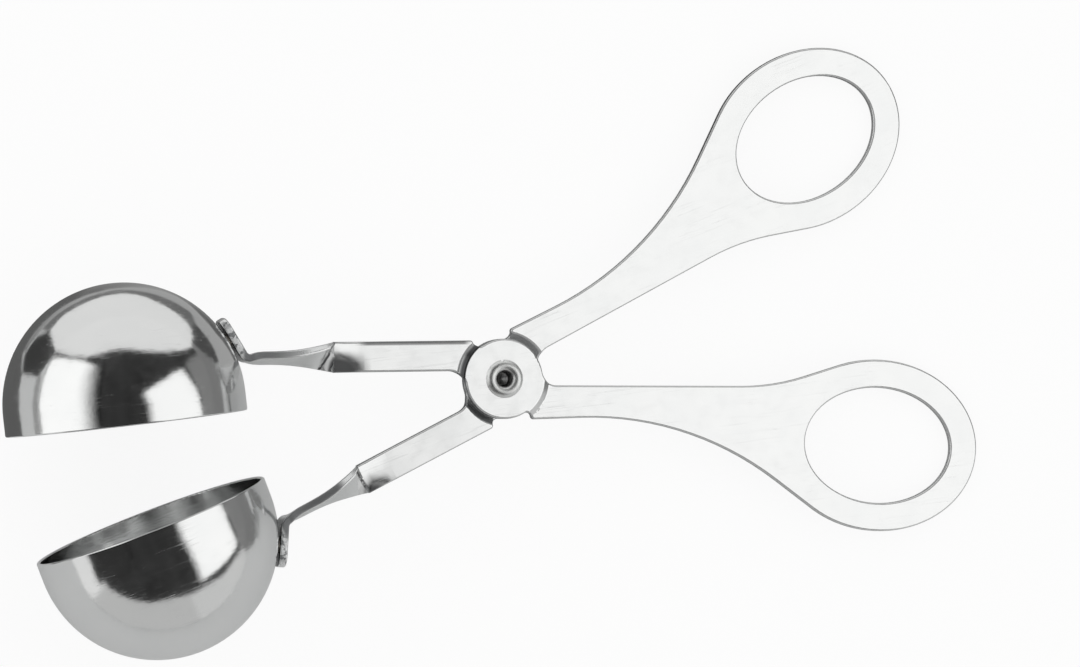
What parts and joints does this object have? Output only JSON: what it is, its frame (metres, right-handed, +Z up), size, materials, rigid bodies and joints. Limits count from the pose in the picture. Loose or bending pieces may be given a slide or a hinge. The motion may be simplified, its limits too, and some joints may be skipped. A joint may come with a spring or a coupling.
{
  "type": "meatball tongs",
  "caption": "Scissor tongs of polished steel with finger rings and two facing hemispherical cups that press a ball of minced meat.",
  "frame": {"origin": "on the table, below the middle of the tongs as they lie at rest on both cups and both finger rings", "axes": "+X from the cups to the handles, +Y towards the front arm's cup and the back arm's finger ring, +Z up; the pivot leans from +Z towards +X, because the handles slope down to the table"},
  "size_m": [0.1886, 0.0978, 0.0467],
  "materials": {
    "arm_steel": "stamped stainless steel sheet, polished nearly to a mirror, with fine scratches",
    "cup_steel": "deep-drawn stainless steel, mirror-polished outside",
    "weld_steel": "bare resistance weld, heat-tinted at its edge",
    "rivet_steel": "polished stainless steel with a rolled clinch"
  },
  "bodies": {
    "front_half": {"front_arm": "arm_steel", "front_cup": "cup_steel", "front_cup_welds": "weld_steel", "pivot_rivet": "rivet_steel"},
    "back_half": {"back_arm": "arm_steel", "back_cup": "cup_steel", "back_cup_welds": "weld_steel"}
  },
  "joints": [
    {"name": "jaw_pivot", "type": "hinge", "parent": "front_half", "child": "back_half", "pos_m": [0.0026, 0, 0.01327], "axis": [0.1354, 0, 0.9908], "range_deg": [-14.4, 46]}
  ]
}
